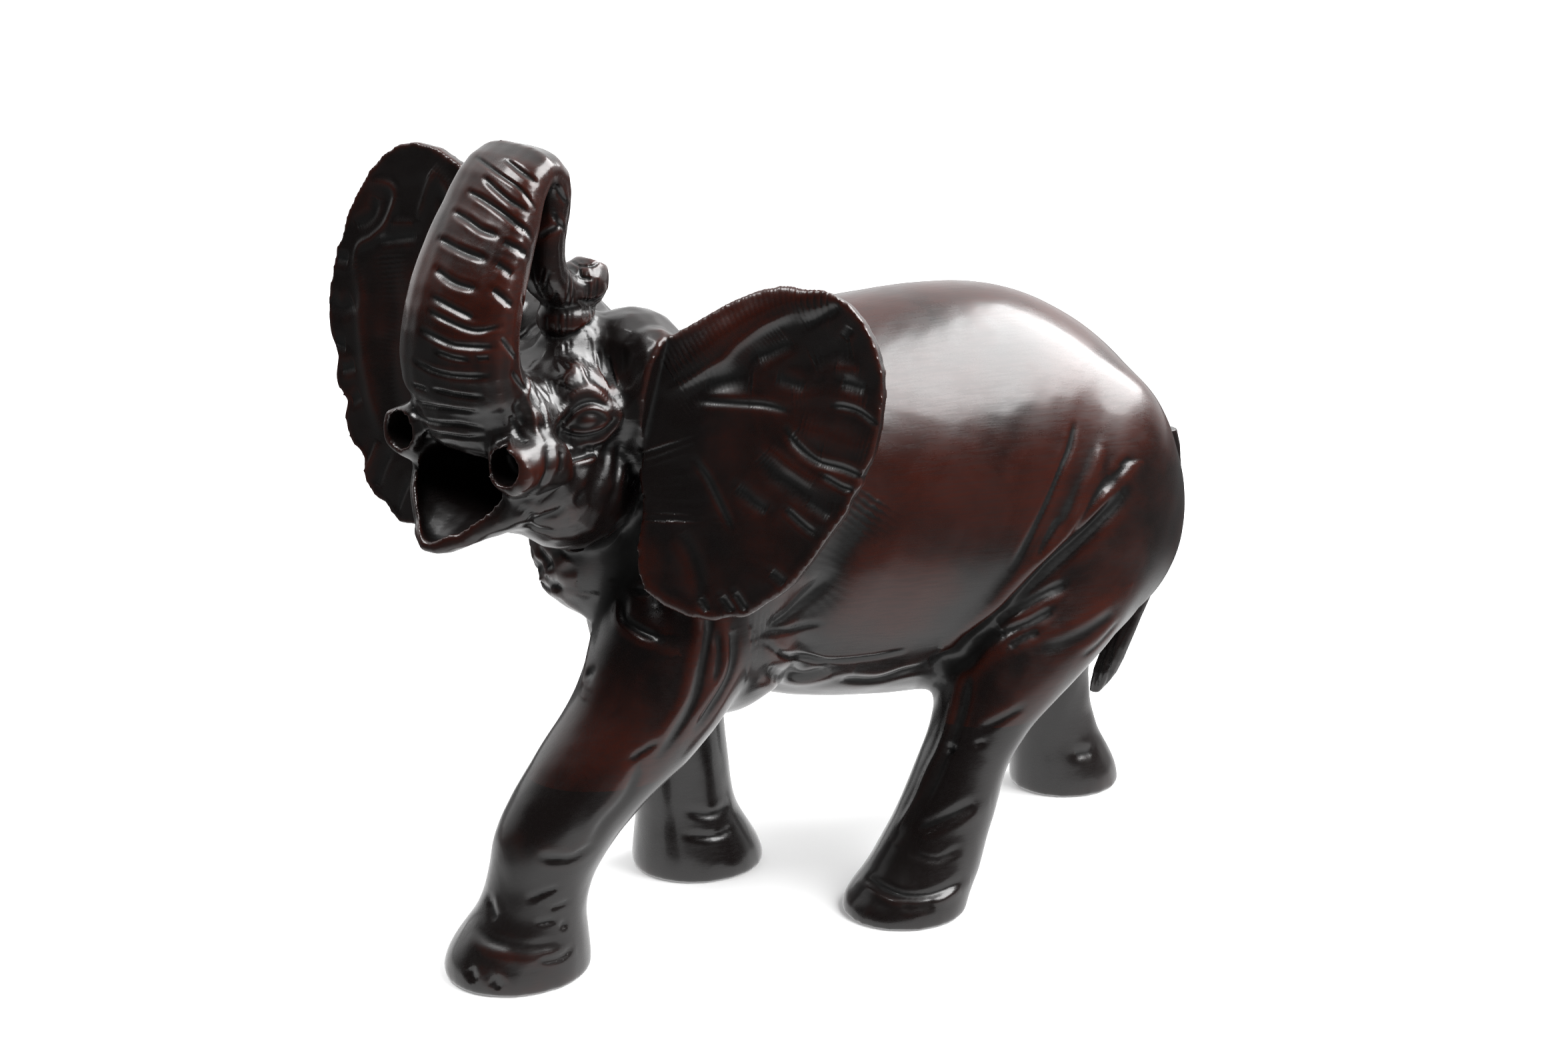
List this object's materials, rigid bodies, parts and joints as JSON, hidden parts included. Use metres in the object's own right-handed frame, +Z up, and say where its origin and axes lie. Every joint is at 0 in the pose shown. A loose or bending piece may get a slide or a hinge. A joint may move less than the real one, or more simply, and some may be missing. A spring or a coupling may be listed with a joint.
{
  "type": "carved wooden elephant figurine",
  "caption": "Walking elephant figurine in dark stained wood, trunk raised and folded over its head, ears spread, mouth open with empty tusk sockets.",
  "frame": {"origin": "on the ground under the middle of the figure's outline box", "axes": "+Z up, the elephant faces -Y and its left side is +X; the soles stand on z = 0"},
  "size_m": [0.1296, 0.226, 0.1982],
  "materials": {
    "stained_hardwood": "dark red-brown stain, waxed and polished to a soft gloss",
    "dark_stained_hardwood": "nearly black stain, waxed and polished to a soft gloss",
    "plain_dowel_wood": "bare turned wood, hidden inside the joints"
  },
  "bodies": {
    "root": {"body": "stained_hardwood", "head": "stained_hardwood", "trunk": "stained_hardwood", "left_ear": "stained_hardwood", "right_ear": "stained_hardwood", "front_left_leg": "dark_stained_hardwood", "front_right_leg": "dark_stained_hardwood", "hind_left_leg": "dark_stained_hardwood", "hind_right_leg": "dark_stained_hardwood", "tail": "dark_stained_hardwood", "neck_dowel_left": "plain_dowel_wood", "neck_dowel_right": "plain_dowel_wood", "trunk_dowel_left": "plain_dowel_wood", "trunk_dowel_right": "plain_dowel_wood", "left_ear_upper_dowel": "plain_dowel_wood", "left_ear_lower_dowel": "plain_dowel_wood", "right_ear_upper_dowel": "plain_dowel_wood", "right_ear_lower_dowel": "plain_dowel_wood", "front_left_leg_dowel": "plain_dowel_wood", "front_right_leg_dowel": "plain_dowel_wood", "hind_left_leg_dowel": "plain_dowel_wood", "hind_right_leg_dowel": "plain_dowel_wood", "tail_dowel": "plain_dowel_wood"}
  },
  "joints": []
}
